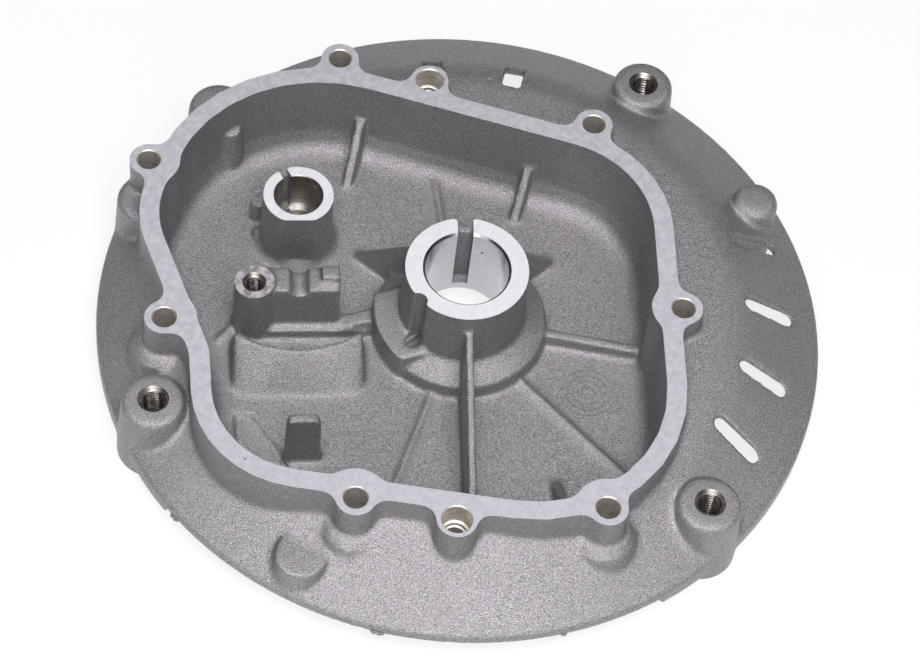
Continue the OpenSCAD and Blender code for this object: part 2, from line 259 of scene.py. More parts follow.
def cut(obj, *bodies):
    """Takes the bodies, which don't touch each other, out of the object."""
    verts, faces = joined(bodies)
    tool_mesh = bpy.data.meshes.new("tool")
    tool_mesh.from_pydata(verts, [], faces)
    tool = bpy.data.objects.new("tool", tool_mesh)
    scene.collection.objects.link(tool)
    boolean = obj.modifiers.new("cut", "BOOLEAN")
    boolean.operation = "DIFFERENCE"
    boolean.solver = "MANIFOLD"
    boolean.object = tool
    evaluated(obj)
    bpy.data.objects.remove(tool)


def arc_block(inner, outer, start, end, low, high, centre, steps=10):
    """Closed piece of a ring between two angles in degrees."""
    verts = []
    for k in range(steps + 1):
        angle = start + (end - start) * k / steps
        for out, z in ((inner, low), (outer, low), (outer, high), (inner, high)):
            verts.append((*on_circle(out, angle, centre), z))
    faces = [(0, 1, 2, 3), tuple(4 * steps + i for i in (3, 2, 1, 0))]
    for k in range(steps):
        for i in range(4):
            j = (i + 1) % 4
            faces.append((4 * k + i, 4 * k + 4 + i, 4 * k + 4 + j, 4 * k + j))
    return verts, faces


def round_like_a_casting(mesh, rounds, convex_share):
    """Moves each point towards its neighbours, on outer edges only by convex_share of the way."""
    points = points_of(mesh)
    count = len(points)
    a, b = read(mesh.edges, "vertices", 2, np.int64).T
    ends = np.concatenate([a, b])
    others = np.concatenate([b, a])
    degree = np.bincount(ends, minlength=count)
    for step in range(rounds):
        if step % NORMALS_EVERY == 0:
            set_points(mesh, points)
            outward = read(mesh.vertex_normals, "vector", 3)
        total = np.stack([np.bincount(ends, points[others, k], count) for k in range(3)], 1)
        pull = total / degree[:, None] - points
        hollow = (pull * outward).sum(1) > 0
        points = points + pull * np.where(hollow, ROUND_PULL, ROUND_PULL * convex_share)[:, None]
    set_points(mesh, points)


casting_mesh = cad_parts["lower_crankcase"].data.copy()
casting_mesh.materials.clear()
casting = piece("casting", casting_mesh)
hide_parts("lower_crankcase")
weld = casting.modifiers.new("weld", "WELD")
weld.merge_threshold = WELD_REACH
evaluated(casting)
# The small pin stands behind the camshaft boss, and is lower than the one that the solid has beside it
cut(casting, arc_block(*TALL_PIN_REACH, *TALL_PIN_ARC, TALL_PIN_FOOT, CAM_TOP, CAM_AXIS))
add_stock(casting.data)
raised = flange_z + STOCK
fill_holes(casting.data, [
    plug(PIN_RADIUS, PIN_FOOT, PIN_TOP, PIN_AT),
    plug(SEAL_RADIUS + FULL_BY, UNDERSIDE, SEAL_DEPTH + FULL_BY),
    plug(MAIN_BORE_RADIUS + 2 * FULL_BY, UNDERSIDE, raised),
    plug(CAM_BORE_RADIUS + FULL_BY, CAM_BORE_FLOOR - FULL_BY, CAM_TOP + STOCK, CAM_AXIS),
    plug(GOVERNOR_THREAD_RADIUS + FULL_BY, GOVERNOR_THREAD_FLOOR - FULL_BY, GOVERNOR_TOP + STOCK,
         GOVERNOR_AXIS),
    *[plug(BOLT_RADIUS + FULL_BY, UNDERSIDE, raised, place) for place in BOLTS],
    *[plug(DOWEL_RADIUS + FULL_BY, UNDERSIDE, raised, place) for place in DOWELS],
    *[plug(DECK_THREAD_RADIUS + FULL_BY, -STOCK, DECK_BOSS_TOP, place) for place in DECK_THREADS],
])
remesh = casting.modifiers.new("even_mesh", "REMESH")
remesh.mode = "VOXEL"
remesh.voxel_size = VOXEL
evaluated(casting)
round_like_a_casting(casting.data, EDGE_ROUNDS, convex_share=1.0)
round_like_a_casting(casting.data, FILLET_ROUNDS, FILLET_EDGE_SHARE)
thin_out = casting.modifiers.new("fewer_faces", "DECIMATE")
thin_out.ratio = CAST_TRIANGLES / (2 * len(casting.data.polygons))
evaluated(casting)


# What blasting leaves on the cast skin: a fine matt grain that catches the light point by point, over
# faint larger clouds where the metal filled the die later.
def node_group(name, inputs, outputs):
    """An empty shader node group with its input and output nodes."""
    group = bpy.data.node_groups.new(name, "ShaderNodeTree")
    for label, kind, value in inputs:
        group.interface.new_socket(label, in_out="INPUT", socket_type=kind).default_value = value
    for label, kind in outputs:
        group.interface.new_socket(label, in_out="OUTPUT", socket_type=kind)
    return group, group.nodes.new("NodeGroupInput"), group.nodes.new("NodeGroupOutput")


def set_inputs(node, values):
    """Sets a node's inputs by name, where underscores stand for spaces."""
    for key, value in values.items():
        node.inputs[key.replace("_", " ")].default_value = value


def add_node(tree, kind, settings=None, **values):
    """A new node with its settings and inputs set."""
    node = tree.nodes.new(kind)
    for key, value in (settings or {}).items():
        setattr(node, key, value)
    set_inputs(node, values)
    return node


grain, grain_in, grain_out = node_group(
    "blasted_grain",
    [("Grain per metre", "NodeSocketFloat", 2700.0), ("Cloud per metre", "NodeSocketFloat", 55.0),
     ("Cloud share", "NodeSocketFloat", 0.15), ("Light", "NodeSocketColor", CAST_LIGHT),
     ("Dark", "NodeSocketColor", CAST_DARK)],
    [("Color", "NodeSocketColor"), ("Height", "NodeSocketFloat"), ("Grain", "NodeSocketFloat")])
place = add_node(grain, "ShaderNodeTexCoord")
fine = add_node(grain, "ShaderNodeTexNoise", Detail=3.0, Roughness=0.62)
cloud = add_node(grain, "ShaderNodeTexNoise", Detail=3.0, Roughness=0.55)
spread = add_node(grain, "ShaderNodeMapRange", From_Min=0.36, From_Max=0.64)
blend_clouds = add_node(grain, "ShaderNodeMix", {"data_type": "FLOAT"})
shades = add_node(grain, "ShaderNodeMix", {"data_type": "RGBA"})
link = grain.links.new
link(place.outputs["Object"], fine.inputs["Vector"])
link(place.outputs["Object"], cloud.inputs["Vector"])
link(grain_in.outputs["Grain per metre"], fine.inputs["Scale"])
link(grain_in.outputs["Cloud per metre"], cloud.inputs["Scale"])
link(fine.outputs["Fac"], spread.inputs["Value"])
link(grain_in.outputs["Cloud share"], blend_clouds.inputs[0])
link(spread.outputs["Result"], blend_clouds.inputs[2])
link(cloud.outputs["Fac"], blend_clouds.inputs[3])
link(blend_clouds.outputs[0], shades.inputs[0])
link(grain_in.outputs["Dark"], shades.inputs[6])
link(grain_in.outputs["Light"], shades.inputs[7])
link(shades.outputs[2], grain_out.inputs["Color"])
link(fine.outputs["Fac"], grain_out.inputs["Height"])
link(spread.outputs["Result"], grain_out.inputs["Grain"])


def material(name, **values):
    """A new material with its node tree and its shader, whose inputs are set."""
    made = bpy.data.materials.new(name)
    made.use_nodes = True
    shader = made.node_tree.nodes["Principled BSDF"]
    set_inputs(shader, values)
    return made, made.node_tree, shader


def use_group(tree, group, **values):
    """A group placed in a material, with its inputs set."""
    return add_node(tree, "ShaderNodeGroup", {"node_tree": group}, **values)


blasted, blasted_tree, blasted_shader = material("blasted_aluminium", Metallic=CAST_METALLIC)
blasted_grain = use_group(blasted_tree, grain)
rough_range = add_node(blasted_tree, "ShaderNodeMapRange", To_Min=CAST_ROUGH, To_Max=CAST_SMOOTH)
blasted_bump = add_node(blasted_tree, "ShaderNodeBump", Strength=1.0, Distance=CAST_BUMP)
link = blasted_tree.links.new
link(blasted_grain.outputs["Color"], blasted_shader.inputs["Base Color"])
link(blasted_grain.outputs["Grain"], rough_range.inputs["Value"])
link(rough_range.outputs["Result"], blasted_shader.inputs["Roughness"])
link(blasted_grain.outputs["Height"], blasted_bump.inputs["Height"])
link(blasted_bump.outputs["Normal"], blasted_shader.inputs["Normal"])


# The milled faces: the sealing flange with the hub's ring, the tops of the camshaft and governor
# bosses and the mounting feet, faced off flat with a large cutter that leaves faint curved lines.
MILL_CENTRE = (0.31, -0.12, 0.0)
MILL_LINE = 0.42 * MM
MILLED_LIGHT = (0.63, 0.62, 0.675, 1)
MILLED_DARK = (0.50, 0.49, 0.545, 1)
RING_LIGHT = (0.90, 0.89, 0.93, 1)
RING_DARK = (0.76, 0.75, 0.80, 1)
DULL_LIGHT = (0.54, 0.51, 0.53, 1)
DULL_DARK = (0.27, 0.255, 0.27, 1)
SLAB_REACH = 0.2
FACED_TO = flange_z - 0.1 * MM
CAM_FACED = CAM_RADIUS + 3 * MM
GOVERNOR_FACED = GOVERNOR_RADIUS + 2 * MM


def slab(x0, x1, y0, y1, z0, z1, turn=0):
    """Box between two corners, turned about the Z axis by so many degrees."""
    c, s = math.cos(math.radians(turn)), math.sin(math.radians(turn))
    outline = ((x0, y0), (x1, y0), (x1, y1), (x0, y1))
    verts = [(x * c - y * s, x * s + y * c, z) for z in (z0, z1) for x, y in outline]
    faces = [(3, 2, 1, 0), (4, 5, 6, 7), (0, 1, 5, 4), (1, 2, 6, 5), (2, 3, 7, 6), (3, 0, 4, 7)]
    return verts, faces


def moved(body, shift):
    """The body at another place."""
    verts, faces = body
    return [tuple(v[k] + shift[k] for k in range(3)) for v in verts], faces


cut(casting,
    slab(-SLAB_REACH, SLAB_REACH, -SLAB_REACH, SLAB_REACH, flange_z, flange_z + 2 * STOCK),
    slab(-SLAB_REACH, SLAB_REACH, -SLAB_REACH, SLAB_REACH, -2 * STOCK, 0),
    plug(CAM_FACED, CAM_TOP, FACED_TO, CAM_AXIS),
    plug(GOVERNOR_FACED, GOVERNOR_TOP, FACED_TO, GOVERNOR_AXIS))

marks, marks_in, marks_out = node_group(
    "tool_marks",
    [("Centre", "NodeSocketVector", MILL_CENTRE),
     ("Lines per metre", "NodeSocketFloat", 1 / MILL_LINE)],
    [("Marks", "NodeSocketFloat")])
place = add_node(marks, "ShaderNodeTexCoord")
reach = add_node(marks, "ShaderNodeVectorMath", {"operation": "DISTANCE"})
count_lines = add_node(marks, "ShaderNodeMath", {"operation": "MULTIPLY"})
lines = add_node(marks, "ShaderNodeTexNoise", {"noise_dimensions": "1D"},
                 Scale=1.0, Detail=2.0, Roughness=0.7)
link = marks.links.new
link(place.outputs["Object"], reach.inputs[0])
link(marks_in.outputs["Centre"], reach.inputs[1])
link(reach.outputs["Value"], count_lines.inputs[0])
link(marks_in.outputs["Lines per metre"], count_lines.inputs[1])
link(count_lines.outputs[0], lines.inputs["W"])
link(lines.outputs["Fac"], marks_out.inputs["Marks"])


def machined(name, light, dark, smooth, rough, bump, clouds, centre=MILL_CENTRE, line=MILL_LINE):
    """Bare metal with tool marks in its colour, gloss and relief."""
    made, tree, shader = material(name, Metallic=1.0)
    lines_node = use_group(tree, marks, Centre=centre, Lines_per_metre=1 / line)
    stain = use_group(tree, grain, Grain_per_metre=420.0, Cloud_per_metre=38.0, Cloud_share=0.6)
    both = add_node(tree, "ShaderNodeMix", {"data_type": "FLOAT"})
    both.inputs[0].default_value = clouds
    tones = add_node(tree, "ShaderNodeMapRange", From_Min=0.3, From_Max=0.7)
    colour = add_node(tree, "ShaderNodeMix", {"data_type": "RGBA"})
    colour.inputs[6].default_value = dark
    colour.inputs[7].default_value = light
    gloss = add_node(tree, "ShaderNodeMapRange", To_Min=rough, To_Max=smooth)
    relief = add_node(tree, "ShaderNodeBump", Strength=0.35, Distance=bump)
    link = tree.links.new
    link(lines_node.outputs["Marks"], both.inputs[2])
    link(stain.outputs["Grain"], both.inputs[3])
    link(both.outputs[0], tones.inputs["Value"])
    link(tones.outputs["Result"], colour.inputs[0])
    link(colour.outputs[2], shader.inputs["Base Color"])
    link(tones.outputs["Result"], gloss.inputs["Value"])
    link(gloss.outputs["Result"], shader.inputs["Roughness"])
    link(lines_node.outputs["Marks"], relief.inputs["Height"])
    link(relief.outputs["Normal"], shader.inputs["Normal"])
    return made


milled = machined("milled_face", MILLED_LIGHT, MILLED_DARK,
                  smooth=0.26, rough=0.38, bump=0.02 * MM, clouds=0.3)
turned_ring = machined("turned_face", RING_LIGHT, RING_DARK,
                       smooth=0.22, rough=0.34, bump=0.02 * MM, clouds=0.15)
dull_ring = machined("dull_face", DULL_LIGHT, DULL_DARK,
                     smooth=0.36, rough=0.5, bump=0.03 * MM, clouds=0.85)


# The bores: the crankshaft bearing with its oil groove and the seal seat below it, the stepped
# camshaft bearing, the bolt holes and the counterbored dowel holes, turned, reamed or drilled.
GROOVE_AT = 98.5
GROOVE_HALF = 2.4 * MM
GROOVE_DEEP = 15.7 * MM
GROOVE_FLOOR = 10.5 * MM
RING_SLOT_FLOOR = flange_z - 3 * MM
OIL_CHANNEL_AT = -132.5
OIL_CHANNEL_OUT = 19.05 * MM
OIL_CHANNEL_RADIUS = 2.6 * MM
OIL_CHANNEL_FLOOR = flange_z - 22.5 * MM
OIL_HOLE_FROM = (HUB_RADIUS + 3 * MM, 0, flange_z - 21.5 * MM)
OIL_HOLE_LENGTH = 12 * MM
OIL_HOLE_RADIUS = 1.5 * MM
OIL_HOLE_TILT = -108
MAIN_CHAMFER = 0.7 * MM
MAIN_STEPS = 144
CAM_STEP_RADIUS = 5.9 * MM
CAM_STEP_TOP = 13 * MM
CAM_SLOT_AT = 126
CAM_SLOT_HALF = 1.35 * MM
CAM_SLOT_DEEP = 9.4 * MM
CAM_SLOT_FLOOR = CAM_STEP_TOP + 0.6 * MM
CAM_RING_SLOT_FLOOR = CAM_TOP - 2 * MM
DOWEL_STEP = 1.3 * MM
DOWEL_SEAT = ((0, -1.6 * MM), (0.5 * MM, -1.4 * MM), (0.6 * MM, -0.2 * MM))
CHAMFER = 0.3 * MM
SPARE = 2 * MM
PORE_RADIUS = 0.42 * MM
PORE_STEPS = 16
PORE_SINK = 0.2 * MM
BORE_PORE_AT = (3.78 * MM, 12.13 * MM, 28.1 * MM)
FLANGE_PORE_AT = (-55 * MM, -77.1 * MM)
DIMPLE_AT = (-1.3 * MM, 80.9 * MM, 27.6 * MM)
DIMPLE_DEPTH = 0.5 * MM
DIMPLE_RADII = (0.9 * MM, 1.3 * MM)
DIMPLE_STEPS = 24
BORE_LIGHT = (0.57, 0.575, 0.61, 1)
BORE_DARK = (0.47, 0.475, 0.505, 1)
REAMED_LIGHT = (0.42, 0.385, 0.36, 1)
REAMED_DARK = (0.17, 0.155, 0.145, 1)
DRILLED_LIGHT = (0.80, 0.75, 0.71, 1)
DRILLED_DARK = (0.52, 0.48, 0.45, 1)
FAR_BELOW = (0.0, 0.0, -8.0)


def drilled(radius, centre):
    """Straight hole through the flange with its edge broken at the top."""
    return turned([(0, -SPARE), (radius, -SPARE), (radius, flange_z - CHAMFER),
                   (radius + CHAMFER + SPARE, flange_z + SPARE), (0, flange_z + SPARE)],
                  centre, HOLE_STEPS)


def dowel_hole(centre):
    """Through hole with a wider seat for the dowel, which has a step at its bottom."""
    small = DOWEL_RADIUS - DOWEL_STEP
    seat = flange_z - DOWEL_DEPTH
    return turned([(0, -SPARE), (small, -SPARE), *[(small + out, seat + up) for out, up in DOWEL_SEAT],
                   (DOWEL_RADIUS, seat), (DOWEL_RADIUS, flange_z - CHAMFER),
                   (DOWEL_RADIUS + CHAMFER + SPARE, flange_z + SPARE), (0, flange_z + SPARE)],
                  centre, HOLE_STEPS)


cut(casting,
    turned([(0, -SPARE), (SEAL_RADIUS + CHAMFER, -SPARE), (SEAL_RADIUS + CHAMFER, UNDERSIDE),
            (SEAL_RADIUS, UNDERSIDE + 2 * CHAMFER), (SEAL_RADIUS, SEAL_DEPTH),
            (MAIN_BORE_RADIUS + CHAMFER, SEAL_DEPTH), (MAIN_BORE_RADIUS, SEAL_DEPTH + CHAMFER),
            (MAIN_BORE_RADIUS, flange_z - MAIN_CHAMFER),
            (MAIN_BORE_RADIUS + MAIN_CHAMFER + SPARE, flange_z + SPARE), (0, flange_z + SPARE)],
           steps=MAIN_STEPS),
    turned([(0, CAM_BORE_FLOOR), (CAM_STEP_RADIUS, CAM_BORE_FLOOR),
            (CAM_STEP_RADIUS, CAM_STEP_TOP - CHAMFER),
            (CAM_STEP_RADIUS + CHAMFER, CAM_STEP_TOP), (CAM_BORE_RADIUS, CAM_STEP_TOP),
            (CAM_BORE_RADIUS, CAM_TOP - CHAMFER), (CAM_BORE_RADIUS + CHAMFER + SPARE, CAM_TOP + SPARE),
            (0, CAM_TOP + SPARE)], CAM_AXIS),
    *[drilled(BOLT_RADIUS, place) for place in BOLTS],
    *[dowel_hole(place) for place in DOWELS])
cut(casting,
    slab(0, GROOVE_DEEP, -GROOVE_HALF, GROOVE_HALF, GROOVE_FLOOR, raised, GROOVE_AT),
    moved(slab(0, CAM_SLOT_DEEP, -CAM_SLOT_HALF, CAM_SLOT_HALF, CAM_SLOT_FLOOR, CAM_TOP + SPARE,
               CAM_SLOT_AT), (*CAM_AXIS, 0)),
    plug(OIL_CHANNEL_RADIUS, OIL_CHANNEL_FLOOR, raised, on_circle(OIL_CHANNEL_OUT, OIL_CHANNEL_AT)))
cut(casting,
    slab(0, 2 * HUB_RADIUS, -GROOVE_HALF, GROOVE_HALF, RING_SLOT_FLOOR, raised, GROOVE_AT),
    moved(slab(0, 2 * CAM_RADIUS, -CAM_SLOT_HALF, CAM_SLOT_HALF, CAM_RING_SLOT_FLOOR, CAM_TOP + SPARE,
               CAM_SLOT_AT), (*CAM_AXIS, 0)))
lean = (Matrix.Rotation(math.radians(OIL_CHANNEL_AT), 4, "Z") @ Matrix.Translation(OIL_HOLE_FROM)
        @ Matrix.Rotation(math.radians(OIL_HOLE_TILT), 4, "Y"))
hole_verts, hole_faces = plug(OIL_HOLE_RADIUS, 0, OIL_HOLE_LENGTH)
cut(casting, ([tuple(lean @ Vector(v)) for v in hole_verts], hole_faces))
ball = [(0, -PORE_RADIUS), *[on_circle(PORE_RADIUS, up) for up in (-60, -30, 0, 30, 60)],
        (0, PORE_RADIUS)]
dimple_z = DIMPLE_AT[2]
cut(casting,
    moved(turned(ball, BORE_PORE_AT[:2], PORE_STEPS), (0, 0, BORE_PORE_AT[2])),
    moved(turned(ball, FLANGE_PORE_AT, PORE_STEPS), (0, 0, flange_z - PORE_SINK)),
    turned([(0, dimple_z - DIMPLE_DEPTH), (DIMPLE_RADII[0], dimple_z), (DIMPLE_RADII[1], dimple_z + MM),
            (0, dimple_z + MM)], DIMPLE_AT[:2], DIMPLE_STEPS))

bored = machined("bored_metal", BORE_LIGHT, BORE_DARK,
                 smooth=0.15, rough=0.26, bump=0.01 * MM, clouds=0.15, centre=FAR_BELOW, line=0.35 * MM)
reamed = machined("reamed_metal", REAMED_LIGHT, REAMED_DARK,
                  smooth=0.26, rough=0.42, bump=0.03 * MM, clouds=0.2, centre=FAR_BELOW, line=0.8 * MM)
drilled_metal = machined("drilled_metal", DRILLED_LIGHT, DRILLED_DARK,
                         smooth=0.5, rough=0.62, bump=0.1 * MM, clouds=0.3, centre=FAR_BELOW,
                         line=0.6 * MM)


# The drain slots: four long ones at the right, cast with the plate, the first over the foot of the
# rounded button. Round the other three the plate is thinned from below, and two ribs are cut back.
SLOTS_AT = (6.5, -8.5, -23.3)
SLOT_ENDS = (88.4 * MM, 99.6 * MM)
SLOT_HALF = 2.3 * MM
THINNED_HALF = 6.5 * MM
THINNED = ((85.5 * MM, 24.9 * MM), (103.5 * MM, 14.6 * MM))
THINNED_FROM = 6 * MM
RIB_CUT = ((77 * MM, 22 * MM), (103.5 * MM, 11.9 * MM))
RIB_CUT_FROM = -4 * MM
RIBS_CUT_BACK_AT = (0, 15)
RIB_CUT_HALF = 2.4 * MM


def slot_body(angle, steps=14):
    """Closed upright bar with round ends in the slot's place."""
    outline = []
    for centre, start in ((SLOT_ENDS[1], -90), (SLOT_ENDS[0], 90)):
        for k in range(steps + 1):
            x, y = on_circle(SLOT_HALF, start + 180 * k / steps)
            outline.append((centre + x, y))
    c, s = math.cos(math.radians(angle)), math.sin(math.radians(angle))
    count = len(outline)
    verts = [(x * c - y * s, x * s + y * c, z) for z in (THINNED_FROM, raised) for x, y in outline]
    faces = [tuple(reversed(range(count))), tuple(range(count, 2 * count))]
    faces += [(k, (k + 1) % count, count + (k + 1) % count, count + k) for k in range(count)]
    return verts, faces


def thinning(angle, ends=THINNED, half=THINNED_HALF, low=THINNED_FROM):
    """Closed wedge under the plate that follows its slope."""
    (near_r, near_z), (far_r, far_z) = ends
    c, s = math.cos(math.radians(angle)), math.sin(math.radians(angle))
    corners = [(near_r, low), (far_r, low), (far_r, far_z), (near_r, near_z)]
    verts = [(r * c - y * s, r * s + y * c, z) for y in (-half, half) for r, z in corners]
    faces = [(0, 1, 2, 3), (7, 6, 5, 4), (0, 4, 5, 1), (1, 5, 6, 2), (2, 6, 7, 3), (3, 7, 4, 0)]
    return verts, faces


cut(casting, *[thinning(angle) for angle in SLOTS_AT])
cut(casting, *[slot_body(angle) for angle in SLOTS_AT])
cut(casting, *[thinning(angle, RIB_CUT, RIB_CUT_HALF, RIB_CUT_FROM) for angle in RIBS_CUT_BACK_AT])


# The threads: three coarse ones in the mounting bosses, tapped right through, and a smaller one in the
# governor boss. Each starts in a countersunk mouth.
DECK_PITCH = 1.25 * MM
GOVERNOR_PITCH = 1.0 * MM
THREAD_HEIGHT = 0.56
RIDGE_SLOPE = 1.3
RIDGE_FLAT = 0.15
THREAD_STEPS = 30
THREAD_ROWS = 8
ROOT_SHARE = 0.86
MOUTH = 0.65 * MM
CONE_TIP = 0.2
# These near-black colours are painted shade: they stand for the dark inside the tapped holes and the pore,
# not for the colour of the metal.
PAINTED_HOLE_SHADE_LIGHT = (0.052, 0.046, 0.042, 1)
PAINTED_HOLE_SHADE_DARK = (0.022, 0.020, 0.018, 1)


def tap(radius, pitch, low, high, centre):
    """Closed body of a screw tap, whose ridges cut the thread."""
    turns_up = math.ceil((high - low) / pitch)
    rows = turns_up * THREAD_ROWS
    verts = [(centre[0], centre[1], low)]
    for row in range(rows + 1):
        for k in range(THREAD_STEPS):
            phase = (row / THREAD_ROWS - k / THREAD_STEPS) % 1
            ridge = min(max(RIDGE_SLOPE * abs(2 * phase - 1) - RIDGE_FLAT, 0), 1)
            out = radius - THREAD_HEIGHT * pitch * (1 - ridge)
            verts.append((*on_circle(out, 360 * k / THREAD_STEPS, centre), low + pitch * row / THREAD_ROWS))
    verts.append((centre[0], centre[1], low + turns_up * pitch))
    faces = []
    for k in range(THREAD_STEPS):
        n = (k + 1) % THREAD_STEPS
        faces.append((0, 1 + n, 1 + k))
        for row in range(rows):
            base = 1 + row * THREAD_STEPS
            above = base + THREAD_STEPS
            faces.append((base + k, base + n, above + n, above + k))
        faces.append((1 + rows * THREAD_STEPS + k, 1 + rows * THREAD_STEPS + n, len(verts) - 1))
    return verts, faces


def countersink(radius, height, side, centre):
    """Cone that opens a hole at the given height, upwards for side 1 and downwards for side -1."""
    inner = (CONE_TIP * radius, height - side * (MOUTH + (1 - CONE_TIP) * radius))
    outer = (radius + MOUTH + SPARE, height + side * SPARE)
    low, high = (inner, outer) if side > 0 else (outer, inner)
    return turned([(0, low[1]), low, high, (0, high[1])], centre, HOLE_STEPS)


cut(casting,
    tap(GOVERNOR_THREAD_RADIUS, GOVERNOR_PITCH, GOVERNOR_THREAD_FLOOR, GOVERNOR_TOP + SPARE,
        GOVERNOR_AXIS),
    *[tap(DECK_THREAD_RADIUS, DECK_PITCH, -SPARE, DECK_BOSS_TOP + SPARE, place)
      for place in DECK_THREADS])
cut(casting,
    countersink(GOVERNOR_THREAD_RADIUS, GOVERNOR_TOP, 1, GOVERNOR_AXIS),
    *[countersink(DECK_THREAD_RADIUS, DECK_BOSS_TOP, 1, place) for place in DECK_THREADS],
    *[countersink(DECK_THREAD_RADIUS, 0, -1, place) for place in DECK_THREADS])
# Material for the thread roots and the pore in the bore, whose near-black colour is painted shade.
hole_painted_shade = machined("hole_painted_shade", PAINTED_HOLE_SHADE_LIGHT, PAINTED_HOLE_SHADE_DARK,
                       smooth=0.4, rough=0.6, bump=0.01 * MM, clouds=0.5, centre=FAR_BELOW, line=0.5 * MM)


# The finishes: each face of the casting has the look of the tool that made it. What lies level at a
# machined height is milled, the walls of the holes are turned, reamed, drilled or tapped, and the
# rest is cast skin. The thread roots and the small pore in the bore get a near-black colour, which
# is painted shade of those deep holes, not the metal's own colour.
FINISHES = (blasted, milled, bored, reamed, hole_painted_shade, turned_ring, dull_ring, drilled_metal)
NEAR = 0.03 * MM
LEVEL_STEP = 0.2 * NEAR
LEVEL_SHARE = 0.9
CONE_SHARE = 0.97
SKIN_DEPTH = 0.3 * MM
SHARP_ANGLE = math.radians(32)

faces = casting.data.polygons
centres = read(faces, "center", 3)
upward = np.abs(read(faces, "normal", 3)[:, 2])
points = points_of(casting.data)
corner_of = read(casting.data.loops, "vertex_index", kind=np.int32)
first_corner = read(faces, "loop_start", kind=np.int32)
corner_heights = points[corner_of, 2]
tallness = (np.maximum.reduceat(corner_heights, first_corner)
            - np.minimum.reduceat(corner_heights, first_corner))
# A long level face can have its middle outside itself, so it is placed by one of its corners
a_corner = points[corner_of[first_corner]]
height = centres[:, 2]
main_out = from_axis(centres, (0, 0))
cam_out = from_axis(centres, CAM_AXIS)
governor_out = from_axis(centres, GOVERNOR_AXIS)
groove_x, groove_y = on_circle(1, GROOVE_AT)
beside_groove = np.abs(centres[:, 0] * groove_y - centres[:, 1] * groove_x)
finish_of = np.zeros(len(faces), dtype=np.int32)


def at(z):
    return np.abs(height - z) < NEAR


def give(finish, chosen):
    """Gives the chosen faces a finish."""
    finish_of[chosen] = FINISHES.index(finish)


level = at(flange_z) | at(0)
level |= at(CAM_TOP) & (cam_out < CAM_RADIUS + MM)
level |= at(GOVERNOR_TOP) & (governor_out < GOVERNOR_RADIUS + MM)
level &= tallness < LEVEL_STEP
on_rings = from_axis(a_corner, (0, 0)) < HUB_RADIUS + MM
on_rings |= from_axis(a_corner, CAM_AXIS) < CAM_RADIUS + MM
give(milled, level)
give(turned_ring, level & on_rings & (height > CAM_TOP - MM))
give(dull_ring, level & (from_axis(a_corner, GOVERNOR_AXIS) < GOVERNOR_RADIUS + MM))

in_bore = (main_out < MAIN_BORE_RADIUS + MM) & (main_out > MAIN_BORE_RADIUS - MM)
in_bore &= (height > SEAL_DEPTH) & (height < flange_z - NEAR)
in_groove = (beside_groove < GROOVE_HALF + NEAR) & (centres[:, 1] > 0)
in_groove &= main_out > MAIN_BORE_RADIUS + 2 * NEAR
in_seal_seat = (main_out < SEAL_RADIUS + MM) & (height < SEAL_DEPTH + NEAR)
in_seal_seat &= height > UNDERSIDE + NEAR
in_cam_bore = (cam_out < CAM_BORE_RADIUS + CHAMFER) & (height < CAM_TOP - NEAR)
in_cam_bore &= height > CAM_BORE_FLOOR - NEAR
give(bored, in_bore & ~in_groove)
give(bored, in_seal_seat)
give(reamed, in_cam_bore)
above_cast_skin = (height > UNDERSIDE + SKIN_DEPTH) | (upward < LEVEL_SHARE)
for hole in BOLTS + DOWELS:
    in_hole = from_axis(centres, hole) < DOWEL_RADIUS + CHAMFER
    give(drilled_metal, in_hole & (finish_of == FINISHES.index(blasted)) & above_cast_skin)
give(bored, at(CAM_STEP_TOP) & (cam_out < CAM_BORE_RADIUS))
# The small pore in the bore gets the near-black colour too, painted shade in its hollow.
give(hole_painted_shade, np.linalg.norm(centres - np.array(BORE_PORE_AT), axis=1) < PORE_RADIUS + NEAR)

tapped = [(GOVERNOR_AXIS, GOVERNOR_THREAD_RADIUS, GOVERNOR_PITCH, GOVERNOR_TOP)]
tapped += [(hole, DECK_THREAD_RADIUS, DECK_PITCH, DECK_BOSS_TOP) for hole in DECK_THREADS]
# The thread roots get the near-black colour, painted shade inside the tapped holes.
for hole, radius, pitch, mouth_top in tapped:
    out = from_axis(centres, hole)
    in_thread = (out > radius - ROOT_SHARE * THREAD_HEIGHT * pitch) & (out < radius + NEAR)
    give(reamed, (out < radius + MOUTH - 2 * NEAR) & (upward < CONE_SHARE))
    give(hole_painted_shade, in_thread & (height < mouth_top - 2 * MOUTH) & (height > 2 * MOUTH))

casting.data.materials.clear()
for finish in FINISHES:
    casting.data.materials.append(finish)
faces.foreach_set("material_index", finish_of)
casting.data.set_sharp_from_angle(angle=SHARP_ANGLE)
casting.data.shade_smooth()
flat_finishes = [FINISHES.index(finish) for finish in (milled, turned_ring, dull_ring)]
faces.foreach_set("use_smooth", ~np.isin(finish_of, flat_finishes))


# The die's date ring: four thin raised circles with twelve division lines on the sump floor, cast
# with it.
RING_CENTRE = (41.6 * MM, -17.8 * MM)
RING_RADII = (8.3 * MM, 6.3 * MM, 4.3 * MM, 2.2 * MM)
RING_LINE = 0.3 * MM
RING_PROUD = 0.26 * MM
RING_SUNK = 0.3 * MM
SUMP_FLOOR = 5 * MM
RING_STEPS = 72
DIVISIONS = 12
FIRST_DIVISION = 0.4
DIVISION_PROUD = 0.7 * RING_PROUD


def raised_ring(radius, centre, steps=RING_STEPS):
    """Closed ring with a flat top and sloping flanks."""
    section = ((radius - RING_LINE, -RING_SUNK), (radius + RING_LINE, -RING_SUNK),
               (radius + RING_LINE / 2, RING_PROUD), (radius - RING_LINE / 2, RING_PROUD))
    verts = []
    for k in range(steps):
        for out, up in section:
            verts.append((*on_circle(out, 360 * k / steps, centre), SUMP_FLOOR + up))
    faces = []
    for k in range(steps):
        n = (k + 1) % steps
        for i in range(4):
            j = (i + 1) % 4
            faces.append((4 * k + i, 4 * n + i, 4 * n + j, 4 * k + j))
    return verts, faces


